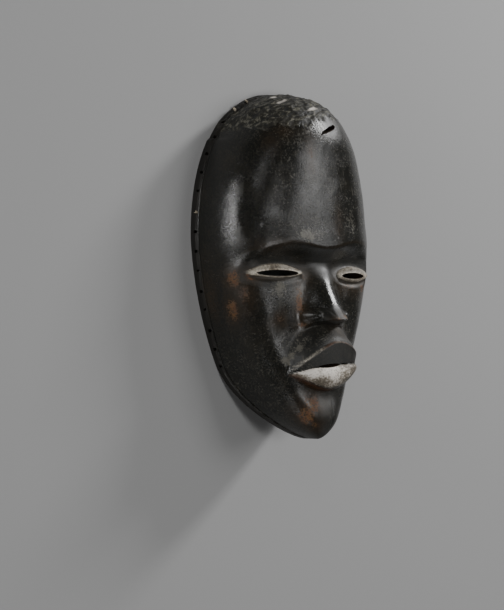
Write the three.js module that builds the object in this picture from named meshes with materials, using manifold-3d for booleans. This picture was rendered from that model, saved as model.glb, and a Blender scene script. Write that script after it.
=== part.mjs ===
// A carved wooden face mask, hollow behind, lying on its rim with the face up.
// Millimetres. +Z is the way the face looks, +Y runs from chin to crown and +X is to the mask's own left.
// The origin is on the floor under the middle of the mask's length and width.
import * as THREE from 'three';
import { mergeVertices } from 'three/addons/utils/BufferGeometryUtils.js';
import Module from 'manifold-3d';

const wasm = await Module();
wasm.setup();

// Driving sizes of the whole mask.
const height = 240;
const width = 140;
const foreheadDepth = 61.2;
const faceDepth = 55.5;
const rimWall = 7;
const frontWall = 9;
const rimHoleWidth = 2.1;
const holesPerSide = 17;

const crownY = height / 2;
const chinY = -height / 2;
const halfWidth = width / 2;

// Places up and down the face are shares of the height, and places across it shares of the half width.
const across = (share) => share * halfWidth;
const along = (share) => share * height;

const outline = {
  widestY: along(0.092),
  crownPower: 2.13,
  crownRoot: 1 / 2.15,
  chinPower: 1.62,
  chinRoot: 0.62,
};
const chinRim = { startY: along(-0.283), lift: 0.7 * faceDepth, power: 1.9 };
const chin = {
  startY: along(-0.43),
  drawIn: 0.14,
  boss: 3,
  bossHalfX: across(0.23),
  bossHalfY: along(0.05),
};
const form = {
  crownPower: 2.4,
  browPower: 2.55,
  facePower: 3.3,
  jawPower: 2.9,
  crownTurn: 5,
  crownRoot: 0.3,
  browSwell: 2.3,
  cheekSwell: 2,
  muzzleSwell: 3,
  reliefStartZ: 0.1 * faceDepth,
  reliefFullZ: 0.43 * faceDepth,
};
const wornEdge = {
  startY: along(0.365),
  crownStartY: along(0.417),
  crownEndY: along(0.47),
  depth: 1.4,
  crownDepth: 3.9,
  reach: 24,
  fade: 16,
};
const band = { height: 5, flare: 1.1, holeHeight: 4.2 };
const brow = {
  midY: along(0.0483),
  archY: along(0.0667),
  archX: across(0.443),
  endX: across(0.936),
  endY: along(-0.0125),
  edge: 12.5,
  templeSpread: 10,
  socketDepth: 4,
  socketY: 12,
  socketHalfY: 7,
  socketEndX: across(0.8),
  cornerX: across(0.757),
  cornerHalfX: 6,
  cornerHalfY: 10,
  cornerDepth: 2.8,
};
const cheek = { x: across(0.443), y: along(-0.208), halfX: across(0.171), halfY: along(0.083), hollow: 2.5 };
const muzzle = { y: along(-0.275), halfX: across(0.406), halfY: along(0.095), rise: 4 };
const eye = {
  x: across(0.534),
  y: along(-0.0263),
  leftDrop: along(0.005),
  halfLength: across(0.3),
  upperLid: along(0.0229),
  lowerLid: along(0.015),
  bulge: 3.6,
  slitHalfLength: across(0.24),
  slitHalfHeight: 1.7,
};
const nose = {
  rootY: along(0.0167),
  tipY: along(-0.1542),
  underY: along(-0.1733),
  tipZ: 1.405 * faceDepth,
  rootHalfWidth: across(0.157),
  tipHalfWidth: across(0.194),
  wingX: across(0.186),
  wingY: along(-0.1408),
  wingHalfX: across(0.08),
  wingHalfY: along(0.0208),
  wingZ: 1.234 * faceDepth,
  baseX: across(0.243),
  baseDrop: 3.4,
};
const mouth = {
  halfWidth: across(0.4214),
  frontZ: 1.324 * faceDepth,
  cornerZ: 0.91 * faceDepth,
  backZ: 0.874 * faceDepth,
  peakY: along(-0.2192),
  cornerY: along(-0.3008),
  lineY: along(-0.285),
  bottomY: along(-0.36),
  upperSlope: 1.5,
  lowerSetBack: 2.5,
  lowerFullness: 4,
  lowerFall: 6.5,
  lineTilt: 0.08,
  rampLength: 9,
  lipStep: 2,
  lipEdge: 0.8,
  hollowUnder: 1.8,
  hollowLength: 5,
  gapX: across(-0.1),
  gapHalfWidth: across(0.14),
  gapHalfHeight: 1.3,
};
const slot = { x: across(0.093), y: along(0.392), length: 19, width: 3, slant: 18.5 };

// Smooth step from 0 at a to 1 at b.
function ease(a, b, value) {
  const t = Math.min(Math.max((value - a) / (b - a), 0), 1);
  return t * t * (3 - 2 * t);
}

// Gaussian-like swell, 1 at the middle and near 0 past the half size.
function swell(distance, halfSize) {
  return Math.exp(-((distance / halfSize) ** 2));
}

// Share of the way from the widest place to the crown or to the chin.
function shareUp(y, inset) {
  return Math.min(Math.max((y - outline.widestY) / (crownY - inset - outline.widestY), 0), 1);
}

function shareDown(y, inset) {
  return Math.min(Math.max((outline.widestY - y) / (outline.widestY - chinY - inset), 0), 1);
}

// Half the width at y, of the outline drawn in by the inset.
function outlineHalfWidth(y, inset) {
  const { crownPower, crownRoot, chinPower, chinRoot } = outline;
  const upper = (1 - shareUp(y, inset) ** crownPower) ** crownRoot;
  const lower = (1 - shareDown(y, inset) ** chinPower) ** chinRoot;
  return (halfWidth - inset) * (y > outline.widestY ? upper : lower);
}

// The rim lies flat and sweeps forward under the chin.
function rimHeight(y) {
  const share = Math.max((chinRim.startY - y) / (chinRim.startY - chinY), 0);
  return chinRim.lift * Math.min(share, 1) ** chinRim.power;
}

function foreheadDepthAt(y, inset) {
  const nearBrow = form.browSwell * ease(along(0.14), brow.midY, y);
  return (foreheadDepth + nearBrow) * (1 - shareUp(y, inset) ** form.crownTurn) ** form.crownRoot;
}

function faceDepthAt(y) {
  const cheekRise = form.cheekSwell * ease(0, along(-0.26), y);
  const muzzleRise = form.muzzleSwell * ease(along(-0.26), along(-0.38), y);
  const share = Math.min(Math.max((chin.startY - y) / (chin.startY - chinY), 0), 1);
  return (faceDepth + cheekRise + muzzleRise) * (1 - chin.drawIn * (1 - Math.sqrt(1 - share ** 2)));
}

// A point on half a superellipse that stands on the rim: angle 0 is the front, a quarter turn is the rim.
function sectionPoint(angle, halfX, baseZ, frontZ, power) {
  const sine = Math.abs(Math.sin(angle));
  const cosine = Math.abs(Math.cos(angle));
  const scale = (sine ** power + cosine ** power) ** (-1 / power);
  return [Math.sign(angle) * halfX * sine * scale, baseZ + (frontZ - baseZ) * cosine * scale];
}

// Height of the brow edge: a double arch that dips over the nose and drops at the temples.
function browLine(x) {
  const side = Math.abs(x);
  if (side < brow.archX) {
    return brow.midY + (brow.archY - brow.midY) * ease(0, brow.archX, side);
  }
  const share = Math.min((side - brow.archX) / (brow.endX - brow.archX), 1);
  return brow.archY - (brow.archY - brow.endY) * (1 - Math.sqrt(1 - share ** 2));
}

// The head's form without its features: a forehead that overhangs a squarer face along the brow.
function headPoint(y, angle, inset, frontInset) {
  const halfX = outlineHalfWidth(y, inset);
  const base = rimHeight(y);
  const towardsBrow = ease(along(0.29), brow.midY, y);
  const foreheadPower = form.crownPower + (form.browPower - form.crownPower) * towardsBrow;
  const forehead = sectionPoint(angle, halfX, base, foreheadDepthAt(y, inset) - frontInset, foreheadPower);
  const facePower = form.facePower + (form.jawPower - form.facePower) * ease(along(-0.208), along(-0.367), y);
  const face = sectionPoint(angle, halfX, base, faceDepthAt(y) - frontInset, facePower);
  const spread = brow.edge + brow.templeSpread * ease(across(0.62), across(0.95), Math.abs(forehead[0]));
  const under = ease(-2, spread - 2, browLine(forehead[0]) - y);
  const x = forehead[0] + (face[0] - forehead[0]) * under;
  const z = forehead[1] + (face[1] - forehead[1]) * under;
  return [x, y, z];
}

// Share of the eye's full height at x, 0 past its corners.
function lidShare(x) {
  const taper = Math.max(1 - ((Math.abs(x) - eye.x) / eye.halfLength) ** 2, 0);
  return Math.sqrt(taper) * (0.7 + 0.3 * taper);
}

// The eye on the mask's own left sits a little lower.
function eyeLine(x) {
  return eye.y - (x > 0 ? eye.leftDrop : 0);
}

function eyeRelief(x, y) {
  const share = lidShare(x);
  const up = y - eyeLine(x);
  const lid = Math.max(share * (up > 0 ? eye.upperLid : eye.lowerLid), 0.01);
  return eye.bulge * Math.sqrt(share) * Math.sqrt(1 - Math.min(Math.abs(up) / lid, 1) ** 2.4);
}

// A scooped bridge that widens to a blunt, boxy tip with a wing at each side.
function noseHeight(x, y, z) {
  const side = Math.abs(x);
  const fromRoot = Math.min(Math.max((nose.rootY - y) / (nose.rootY - nose.tipY), 0), 1);
  const ridge = faceDepth + (nose.tipZ - faceDepth) * (0.75 * fromRoot ** 0.85 + 0.25 * fromRoot ** 4);
  const halfX = nose.rootHalfWidth + (nose.tipHalfWidth - nose.rootHalfWidth) * fromRoot;
  const bluntness = 3 + fromRoot ** 2;
  const crossShare = Math.exp(-((side / halfX) ** bluntness));
  const drop = nose.baseDrop * Math.min(side / nose.baseX, 1) ** 4;
  const reach = ease(nose.underY, nose.tipY, y + drop) * ease(nose.rootY + 4, nose.rootY - 7, y);
  const bridge = z + Math.max(ridge - z, 0) * reach * crossShare;
  const wingSwell = swell(side - nose.wingX, nose.wingHalfX) * swell(y - nose.wingY, nose.wingHalfY);
  const wing = z + Math.max(nose.wingZ - z, 0) * wingSwell * reach;
  return Math.max(bridge, wing);
}

// The edges of the lips at x, and how far forward the lips stand there.
function lipCurves(x) {
  const side = Math.min(Math.abs(x) / mouth.halfWidth, 1);
  const topDrop = 0.75 * side ** 1.75 + 0.25 * side ** 12;
  const bottomRise = 0.75 * side ** 2 + 0.25 * side ** 12;
  return {
    top: mouth.peakY + (mouth.cornerY - mouth.peakY) * topDrop,
    line: mouth.lineY + (mouth.cornerY - mouth.lineY) * side ** 4,
    bottom: mouth.bottomY + (mouth.cornerY - mouth.bottomY) * bottomRise,
    front: mouth.cornerZ + (mouth.frontZ - mouth.cornerZ) * Math.sqrt(1 - side ** 3.2),
  };
}

// The wood swells up to the upper lip and dips under the lower one.
function mouthRelief(x, y, z) {
  const { top, bottom, front } = lipCurves(x);
  const share = Math.abs(x) / mouth.halfWidth;
  const ramp = swell(Math.max(y - top, 0), mouth.rampLength) * ease(bottom, top, y) * ease(1.15, 0.8, share);
  const below = swell(y - bottom + mouth.hollowLength, mouth.hollowLength) * ease(1, 0.5, share);
  return z + Math.max(front - mouth.lipStep - z, 0) * ramp - mouth.hollowUnder * below;
}

// How far the rim is worn back, from a notch up to the crown on the mask's own right.
function rimWear(x, y, fromRim) {
  const { startY, crownStartY, crownEndY, depth, crownDepth, reach, fade } = wornEdge;
  const deep = depth + (crownDepth - depth) * ease(crownStartY, crownEndY, y);
  return x < 0 ? deep * ease(startY - 0.8, startY + 0.8, y) * ease(reach, reach - fade, fromRim) : 0;
}

// The carved outer surface.
function carvedPoint(row, angle) {
  const y = rowHeight(row, headPoint(row, angle, 0, 0)[0]);
  const [x, , headZ] = headPoint(y, angle, 0, 0);
  const base = rimHeight(y);
  let z = headZ;
  const front = ease(form.reliefStartZ, form.reliefFullZ, z);
  const side = Math.abs(x);
  const underBrow = browLine(x) - y;
  const socket = swell(underBrow - brow.socketY, brow.socketHalfY) * ease(brow.socketEndX, brow.archX, side);
  const corner = swell(side - brow.cornerX, brow.cornerHalfX) * swell(y - eye.y, brow.cornerHalfY);
  z -= (brow.socketDepth * socket + brow.cornerDepth * corner) * front;
  z -= cheek.hollow * swell(side - cheek.x, cheek.halfX) * swell(y - cheek.y, cheek.halfY) * front;
  z += muzzle.rise * swell(x, muzzle.halfX) * swell(y - muzzle.y, muzzle.halfY);
  z += chin.boss * swell(x, chin.bossHalfX) * swell(y - chin.startY, chin.bossHalfY);
  z += eyeRelief(x, y);
  z = noseHeight(x, y, z);
  z = mouthRelief(x, y, z);
  const flare = band.flare * ease(band.height + 1.5, band.height - 0.5, z - base);
  const outward = flare - rimWear(x, y, z - base);
  return [x + Math.sign(x) * outward * ease(0, across(0.2), side), y, z];
}

// Evenly spaced values from the first, up to but without the last.
function spaced(from, to, count) {
  return Array.from({ length: count }, (_, i) => from + ((to - from) * i) / count);
}

// The curves that rows of the grid follow across the face, from crown to nose.
function guideCurves(x) {
  const browEdge = browLine(x);
  const lids = Math.max(lidShare(x), 0.45);
  const lidTop = eyeLine(x) + lids * eye.upperLid;
  const lidBottom = eyeLine(x) - lids * eye.lowerLid;
  const noseUnder = nose.underY - nose.baseDrop;
  return [crownY, browEdge + 0.6 * brow.edge, browEdge, lidTop, lidBottom, noseUnder, chinY];
}

const middleGuides = guideCurves(0);

// Moves a point of a straight row onto the curve that its row follows.
function rowHeight(y, x) {
  const guides = guideCurves(x);
  const above = Math.max(middleGuides.findIndex((guide) => guide <= y) - 1, 0);
  const share = (middleGuides[above] - y) / (middleGuides[above] - middleGuides[above + 1]);
  const followed = guides[above] + (guides[above + 1] - guides[above]) * share;
  const halfX = Math.max(outlineHalfWidth(y, 0), 1);
  return y + (followed - y) * ease(0.99, 0.86, Math.abs(x) / halfX);
}

// Rows from crown to chin, closer together where the carving is fine and where the outline turns.
function outerRows() {
  const [, browTop, browEdge, lidTop, lidBottom, noseUnder] = middleGuides;
  const crownTurn = spaced(Math.PI / 2, Math.PI / 14, 13);
  const chinTurn = spaced(0, Math.PI / 2, 9);
  const chinTop = mouth.bottomY - 6;
  return [
    ...crownTurn.map((turn) => outline.widestY + (crownY - outline.widestY) * Math.sin(turn)),
    ...spaced(along(0.17), browTop, 3),
    ...spaced(browTop, browEdge, 4),
    ...spaced(browEdge, lidTop, 5),
    ...spaced(lidTop, lidBottom, 6),
    ...spaced(lidBottom, nose.tipY + 3, 8),
    ...spaced(nose.tipY + 3, noseUnder, 7),
    ...spaced(noseUnder, mouth.peakY, 6),
    ...spaced(mouth.peakY, mouth.bottomY, 11),
    ...spaced(mouth.bottomY, chinTop, 3),
    ...chinTurn.map((turn) => chinTop + (chinY - chinTop) * Math.sin(turn)),
    chinY,
  ];
}

// Columns from rim to rim as angles, closer together across the face.
function outerColumns() {
  const half = [
    ...spaced(0, 0.31 * Math.PI, 13),
    ...spaced(0.31 * Math.PI, 0.46 * Math.PI, 4),
    0.463 * Math.PI,
    0.475 * Math.PI,
    0.5 * Math.PI,
  ];
  return [...half.slice(1).reverse().map((angle) => -angle), ...half];
}

// A grid of points closed by a strip from each row's last point back to its first.
function closedSolid(rows, columns, pointAt) {
  const positions = rows.flatMap((y) => columns.flatMap((angle) => pointAt(y, angle)));
  const index = [];
  const count = columns.length;
  for (let row = 0; row + 1 < rows.length; row += 1) {
    for (let column = 0; column < count; column += 1) {
      const next = (column + 1) % count;
      const a = row * count + column;
      const b = (row + 1) * count + column;
      const c = (row + 1) * count + next;
      const d = row * count + next;
      index.push(a, b, c, a, c, d);
    }
  }
  const geometry = new THREE.BufferGeometry();
  geometry.setAttribute('position', new THREE.Float32BufferAttribute(positions, 3));
  geometry.setIndex(index);
  return toSolid(geometry);
}

function toSolid(geometry) {
  geometry.deleteAttribute('normal');
  geometry.deleteAttribute('uv');
  const merged = mergeVertices(geometry, 1e-4);
  const triangles = [];
  const index = merged.index.array;
  for (let i = 0; i < index.length; i += 3) {
    const [a, b, c] = index.slice(i, i + 3);
    if (a !== b && b !== c && c !== a) {
      triangles.push(a, b, c);
    }
  }
  return new wasm.Manifold(
    new wasm.Mesh({
      numProp: 3,
      vertProperties: new Float32Array(merged.attributes.position.array),
      triVerts: new Uint32Array(triangles),
    }),
  );
}

// The hollow behind the face, run out behind the rim so that it cuts it open.
function hollow() {
  const quarter = Math.PI / 2;
  const behind = -10;
  const rows = [...spaced(quarter, -quarter, 24), -quarter].map((turn) => {
    const reach = turn > 0 ? crownY - rimWall - outline.widestY : outline.widestY - chinY - rimWall;
    return outline.widestY + reach * Math.sin(turn);
  });
  const columns = [-Math.PI, ...spaced(-quarter, quarter, 16), quarter, Math.PI];
  return closedSolid(rows, columns, (y, angle) => {
    const [x, , z] = headPoint(y, Math.max(Math.min(angle, quarter), -quarter), rimWall, frontWall);
    return [x, y, Math.abs(angle) > quarter ? behind : z];
  });
}

// A lip as a row of sections across the mouth that close to a point at each corner.
function lipSolid(sectionAt) {
  const stations = 22;
  const turns = spaced(-Math.PI / 2, Math.PI / 2, stations).concat(Math.PI / 2);
  const places = turns.map((turn) => mouth.halfWidth * Math.sin(turn));
  const cornerPoint = sectionAt(mouth.halfWidth)[0];
  return closedSolid(places, sectionAt(0).map((_, i) => i), (x, i) => {
    const [y, z] = Math.abs(x) < 0.999 * mouth.halfWidth ? sectionAt(x)[i] : cornerPoint;
    return [x, y + mouth.lineTilt * x, z];
  });
}

// Flat upper lip, cut back from its sharp edge to the lip line.
function upperLip() {
  return lipSolid((x) => {
    const { top, line, front } = lipCurves(x);
    return [
      [line, mouth.backZ],
      [line, front - mouth.upperSlope],
      [top, front],
      [top + mouth.lipEdge, front - mouth.lipEdge],
      [top + 2 * mouth.lipEdge, front - 2.5 * mouth.lipStep],
      [top, mouth.backZ],
    ];
  });
}

// Full lower lip, rounded from the lip line down to the chin.
function lowerLip() {
  const steps = 7;
  return lipSolid((x) => {
    const { line, bottom, front } = lipCurves(x);
    const round = Array.from({ length: steps + 1 }, (_, i) => {
      const down = i / steps;
      const fullness = mouth.lowerFullness * Math.sqrt(Math.sin(Math.PI * down));
      const z = front - mouth.lowerSetBack + fullness - mouth.lowerFall * down ** 2;
      return [line + (bottom - line) * down, z];
    });
    return [[bottom, mouth.backZ], ...round.reverse(), [line, mouth.backZ]];
  });
}

// A flat lens of the given half sizes, run straight through the wall.
function lens(halfLength, halfHeight, depth) {
  const steps = 8;
  const upperEdge = Array.from({ length: steps + 1 }, (_, i) => {
    const share = 1 - (2 * i) / steps;
    return new THREE.Vector2(halfLength * share, halfHeight * Math.sqrt(1 - share ** 2));
  });
  const lowerEdge = upperEdge.slice(1, -1).map(({ x, y }) => new THREE.Vector2(-x, -y));
  const shape = new THREE.Shape([...upperEdge, ...lowerEdge]);
  return new THREE.ExtrudeGeometry(shape, { depth, bevelEnabled: false });
}

function eyeSlit(sign) {
  const geometry = lens(eye.slitHalfLength, eye.slitHalfHeight, 2 * faceDepth);
  geometry.translate(sign * eye.x, eyeLine(sign), 10);
  return toSolid(geometry);
}

function mouthGap() {
  const geometry = lens(mouth.gapHalfWidth, mouth.gapHalfHeight, 2 * faceDepth);
  geometry.rotateZ(Math.atan(mouth.lineTilt));
  geometry.translate(mouth.gapX, mouth.lineY + mouth.lineTilt * mouth.gapX, 10);
  return toSolid(geometry);
}

function crownSlot() {
  const geometry = new THREE.BoxGeometry(slot.length, slot.width, foreheadDepth);
  geometry.rotateZ(THREE.MathUtils.degToRad(slot.slant));
  geometry.translate(slot.x, slot.y, foreheadDepth);
  return toSolid(geometry);
}

// The outline of the rim on one side, from the crown down to the jaw.
function rimLine() {
  const lastTurn = -0.75;
  const places = spaced(Math.PI / 2, lastTurn, 60).map((turn) => {
    const reach = turn > 0 ? crownY - outline.widestY : outline.widestY - chinY;
    const y = outline.widestY + reach * Math.sin(turn);
    return new THREE.Vector2(outlineHalfWidth(y, 0), y);
  });
  return new THREE.SplineCurve(places);
}

// Small holes drilled square to the rim, evenly spaced down each side.
function rimHoles() {
  const line = rimLine();
  return Array.from({ length: holesPerSide }).flatMap((_, i) => {
    const share = (i + 0.6) / holesPerSide;
    const place = line.getPointAt(share);
    const tangent = line.getTangentAt(share);
    const heading = Math.atan2(tangent.x, -tangent.y);
    return [rimHole(place.x, place.y, heading), rimHole(-place.x, place.y, -heading)];
  });
}

function rimHole(x, y, heading) {
  const radius = rimHoleWidth / 2;
  const geometry = new THREE.CylinderGeometry(radius, radius, 4 * rimWall, 6);
  geometry.rotateZ(Math.PI / 2 + heading);
  geometry.translate(x, y, rimHeight(y) + band.holeHeight);
  return toSolid(geometry);
}

function maskSolid() {
  let solid = closedSolid(outerRows(), outerColumns(), carvedPoint);
  solid = solid.add(upperLip()).add(lowerLip()).subtract(hollow());
  const cutters = [eyeSlit(-1), eyeSlit(1), mouthGap(), crownSlot(), ...rimHoles()];
  for (const cutter of cutters) {
    solid = solid.subtract(cutter);
  }
  return solid;
}

function toGeometry(solid) {
  const { vertProperties, triVerts } = solid.getMesh();
  const geometry = new THREE.BufferGeometry();
  geometry.setAttribute('position', new THREE.BufferAttribute(vertProperties, 3));
  geometry.setIndex(new THREE.BufferAttribute(triVerts, 1));
  geometry.computeVertexNormals();
  return geometry;
}

const darkWood = new THREE.MeshStandardMaterial({ color: 0x2b2622, roughness: 0.42, metalness: 0 });
const mask = new THREE.Mesh(toGeometry(maskSolid()), darkWood);
mask.name = 'mask';

const object = new THREE.Group();
object.add(mask);

export default object;
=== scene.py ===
import math
import random

import bmesh
import bpy
import numpy as np
from mathutils import Matrix, Vector, noise


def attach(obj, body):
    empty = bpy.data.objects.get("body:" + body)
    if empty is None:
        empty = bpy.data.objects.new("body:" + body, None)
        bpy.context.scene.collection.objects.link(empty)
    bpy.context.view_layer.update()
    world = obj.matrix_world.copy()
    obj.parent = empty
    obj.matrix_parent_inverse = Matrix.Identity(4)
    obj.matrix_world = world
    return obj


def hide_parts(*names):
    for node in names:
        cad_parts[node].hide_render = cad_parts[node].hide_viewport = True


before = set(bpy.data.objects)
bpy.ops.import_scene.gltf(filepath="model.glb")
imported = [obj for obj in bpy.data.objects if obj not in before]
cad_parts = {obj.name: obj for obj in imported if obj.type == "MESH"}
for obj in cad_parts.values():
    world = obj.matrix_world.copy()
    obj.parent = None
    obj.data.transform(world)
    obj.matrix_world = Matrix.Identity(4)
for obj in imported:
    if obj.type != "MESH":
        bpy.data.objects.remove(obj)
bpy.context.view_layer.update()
mm = 0.001

# camera: looks down on the lying mask from its right-hand side, crown up in the picture
view = {"turn": 44.0, "distance": 3.0, "frameHeight": 428.0, "lookAcross": -8.8, "lookUp": -27.2}


def makeCamera():
    turn = math.radians(view["turn"])
    right = Vector((math.cos(turn), 0, math.sin(turn)))
    up = Vector((0, 1, 0))
    back = Vector((-math.sin(turn), 0, math.cos(turn)))
    target = (right * view["lookAcross"] + up * view["lookUp"]) * mm
    data = bpy.data.cameras.new("camera")
    data.sensor_width = 36
    data.lens = 36 * view["distance"] / (view["frameHeight"] * mm)  # the sensor's long side is upright
    camera = bpy.data.objects.new("camera", data)
    bpy.context.scene.collection.objects.link(camera)
    placed = Matrix((right, up, back)).transposed().to_4x4()
    placed.translation = target + back * view["distance"]
    camera.matrix_world = placed
    bpy.context.scene.camera = camera


makeCamera()
print("camera ready")

# the mask's own sizes in millimetres: y runs from chin to crown, z is the way it looks
mask = {
    "halfHeight": 120.0,
    "halfWidth": 70.0,
    "rimWall": 7.0,
    "frontWall": 9.0,
    "widestY": 22.0,
    "crownPower": 2.13,
    "crownRoot": 2.15,
    "chinPower": 1.62,
    "chinRoot": 0.62,
    "cutBelow": -10.0,
}
crownY = mask["halfHeight"]
chinY = -mask["halfHeight"]
widestY = mask["widestY"]


def ease(a, b, value):
    t = np.clip((value - a) / (b - a), 0, 1)
    return t * t * (3 - 2 * t)


def swell(distance, half):
    return np.exp(-((distance / half) ** 2))


def shareUp(y, inset):
    return np.clip((y - widestY) / (crownY - inset - widestY), 0, 1)


def shareDown(y, inset):
    return np.clip((widestY - y) / (widestY - chinY - inset), 0, 1)


def outlineHalf(y, inset):
    # half the mask's width at each height: fuller to the crown, drawn in to a pointed chin
    upper = (1 - shareUp(y, inset) ** mask["crownPower"]) ** (1 / mask["crownRoot"])
    lower = (1 - shareDown(y, inset) ** mask["chinPower"]) ** mask["chinRoot"]
    return (mask["halfWidth"] - inset) * np.where(y > widestY, upper, lower)


# the rim sweeps forward under the chin; on the right it is cut back from a notch up to the crown
rim = {
    "sweepStart": -68.0,
    "sweepHeight": 39.0,
    "sweepPower": 1.9,
    "bandHeight": 5.0,
    "bandFlare": 1.1,
    "wornDepth": 1.4,
    "wornFrom": 87.6,
    "crownWear": 1.8,
    "wornTo": 112.8,
}


def rimHeight(y):
    share = np.clip((rim["sweepStart"] - y) / (rim["sweepStart"] - chinY), 0, 1)
    return rim["sweepHeight"] * share ** rim["sweepPower"]


def sectionPoint(angle, halfX, base, front, power):
    # a point on a rounded section, from the rim on one side over the front to the other
    sine, cosine = np.abs(np.sin(angle)), np.abs(np.cos(angle))
    scale = (sine**power + cosine**power) ** (-1 / power)
    return np.sign(angle) * halfX * sine * scale, base + (front - base) * cosine * scale


# the overhanging brow and the sockets under it; the left socket ends sooner than the right one
brow = {
    "midY": 11.6,
    "archY": 16.0,
    "archX": 31.0,
    "endX": 65.5,
    "endY": -3.0,
    "edge": 12.5,
    "lead": 2.0,
    "templeSpread": 5.0,
    "templeFromX": 43.4,
    "templeToX": 66.5,
    "socket": 4.0,
    "socketY": 15.0,
    "socketHalf": 6.5,
    "socketRise": 5.0,
    "riseFromX": 44.0,
    "riseToX": 62.0,
    "leftEndX": 56.0,
    "rightEndX": 65.0,
    "rightFullX": 46.0,
}


def browLine(x):
    # the brow's height: down in the middle, arched over each eye, falling to the temples
    side = np.abs(x)
    inner = brow["midY"] + (brow["archY"] - brow["midY"]) * ease(0, brow["archX"], side)
    share = np.clip((side - brow["archX"]) / (brow["endX"] - brow["archX"]), 0, 1)
    outer = brow["archY"] - (brow["archY"] - brow["endY"]) * (1 - np.sqrt(1 - share**2))
    return np.where(side < brow["archX"], inner, outer)


# the head's two rounded sections; a higher power makes a squarer one
forehead = {
    "depth": 61.2,
    "browSwell": 2.3,
    "swellFromY": 33.6,
    "power": 2.4,
    "browPower": 0.15,
    "powerFromY": 69.6,
    "crownPower": 5,
    "crownRoot": 0.3,
}
lowerFace = {
    "depth": 55.5,
    "mouthSwell": 2.0,
    "mouthY": -62.4,
    "chinSwell": 3.0,
    "jawY": -91.2,
    "chinTurn": 0.14,
    "turnFromY": -103.2,
    "power": 3.3,
    "chinPower": 0.4,
    "powerFromY": -50.0,
    "powerToY": -88.0,
}


def foreheadSection(y, angle, inset, frontInset):
    depth = forehead["depth"] + forehead["browSwell"] * ease(forehead["swellFromY"], brow["midY"], y)
    depth = depth * (1 - shareUp(y, inset) ** forehead["crownPower"]) ** forehead["crownRoot"]
    power = forehead["power"] + forehead["browPower"] * ease(forehead["powerFromY"], brow["midY"], y)
    base = rimHeight(y)
    return sectionPoint(angle, outlineHalf(y, inset), base, np.maximum(depth - frontInset, base), power)


def faceSection(y, angle, inset, frontInset):
    depth = lowerFace["depth"] + lowerFace["mouthSwell"] * ease(0, lowerFace["mouthY"], y)
    depth = depth + lowerFace["chinSwell"] * ease(lowerFace["mouthY"], lowerFace["jawY"], y)
    share = np.clip((y - lowerFace["turnFromY"]) / (chinY - lowerFace["turnFromY"]), 0, 1)
    depth = depth * (1 - lowerFace["chinTurn"] * (1 - np.sqrt(1 - share**2)))
    rounder = ease(lowerFace["powerFromY"], lowerFace["powerToY"], y)
    power = lowerFace["power"] - lowerFace["chinPower"] * rounder
    return sectionPoint(angle, outlineHalf(y, inset), rimHeight(y), depth - frontInset, power)


def headPoint(y, angle, inset, frontInset):
    # a rounded forehead that overhangs a squarer face along the brow
    upperX, upperZ = foreheadSection(y, angle, inset, frontInset)
    faceX, faceZ = faceSection(y, angle, inset, frontInset)
    temple = ease(brow["templeFromX"], brow["templeToX"], np.abs(upperX))
    spread = brow["edge"] + brow["templeSpread"] * temple
    under = ease(0, 1, (browLine(upperX) - y + brow["lead"]) / spread)
    return upperX + (faceX - upperX) * under, upperZ + (faceZ - upperZ) * under


# the right eye; the left one is a little lower, shorter and rounder
eye = {
    "x": 37.4,
    "y": -5.2,
    "halfLength": 21.0,
    "upper": 6.3,
    "lower": 3.0,
    "bulge": 3.0,
    "groove": 1.2,
    "slitHalf": 16.4,
    "slitHeight": 2.2,
    "leftX": 35.0,
    "leftDrop": 1.7,
    "leftShorter": 2.6,
    "leftSlitX": 32.8,
    "leftSlitHalf": 12.4,
    "leftRounder": 0.4,
    "cutFrom": 10,
    "cutTo": 90,
}


def lidCurves(x, y):
    # how full the lids are at x, how far y is above the slit, and the lids' edge there
    centre = np.where(x > 0, eye["leftX"], eye["x"])
    halfLength = eye["halfLength"] - eye["leftShorter"] * (x > 0)
    taper = np.clip(1 - ((np.abs(x) - centre) / halfLength) ** 2, 0, 1)
    share = np.sqrt(taper) * (0.7 + 0.3 * taper)
    above = y - eye["y"] + eye["leftDrop"] * (x > 0)
    lower = eye["lower"] * (1 + eye["leftRounder"] * (x > 0))
    edge = np.where(above > 0, eye["upper"], lower) * np.maximum(share, 1e-3)
    return share, above, edge


def eyeRelief(x, y):
    # swelling lids with a groove under them
    share, above, edge = lidCurves(x, y)
    dome = np.sqrt(1 - np.clip(np.abs(above) / edge, 0, 1) ** 2.4)
    groove = swell(above + edge + 1.4, 1.7) * ease(0.1, 0.5, share) * (above < 0)
    return eye["bulge"] * np.sqrt(share) * dome - eye["groove"] * groove


nose = {
    "rootY": 8.0,
    "tipY": -37.0,
    "underY": -41.6,
    "tipZ": 78.0,
    "rootHalf": 11.0,
    "tipHalf": 13.6,
    "melt": 3.0,
}
# the wings of the nose
wing = {
    "x": 12.2,
    "y": -34.4,
    "z": 69.0,
    "halfX": 6.6,
    "halfY": 5.6,
    "drop": 3.4,
    "dropX": 17.0,
    "blend": 2.2,
}


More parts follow.
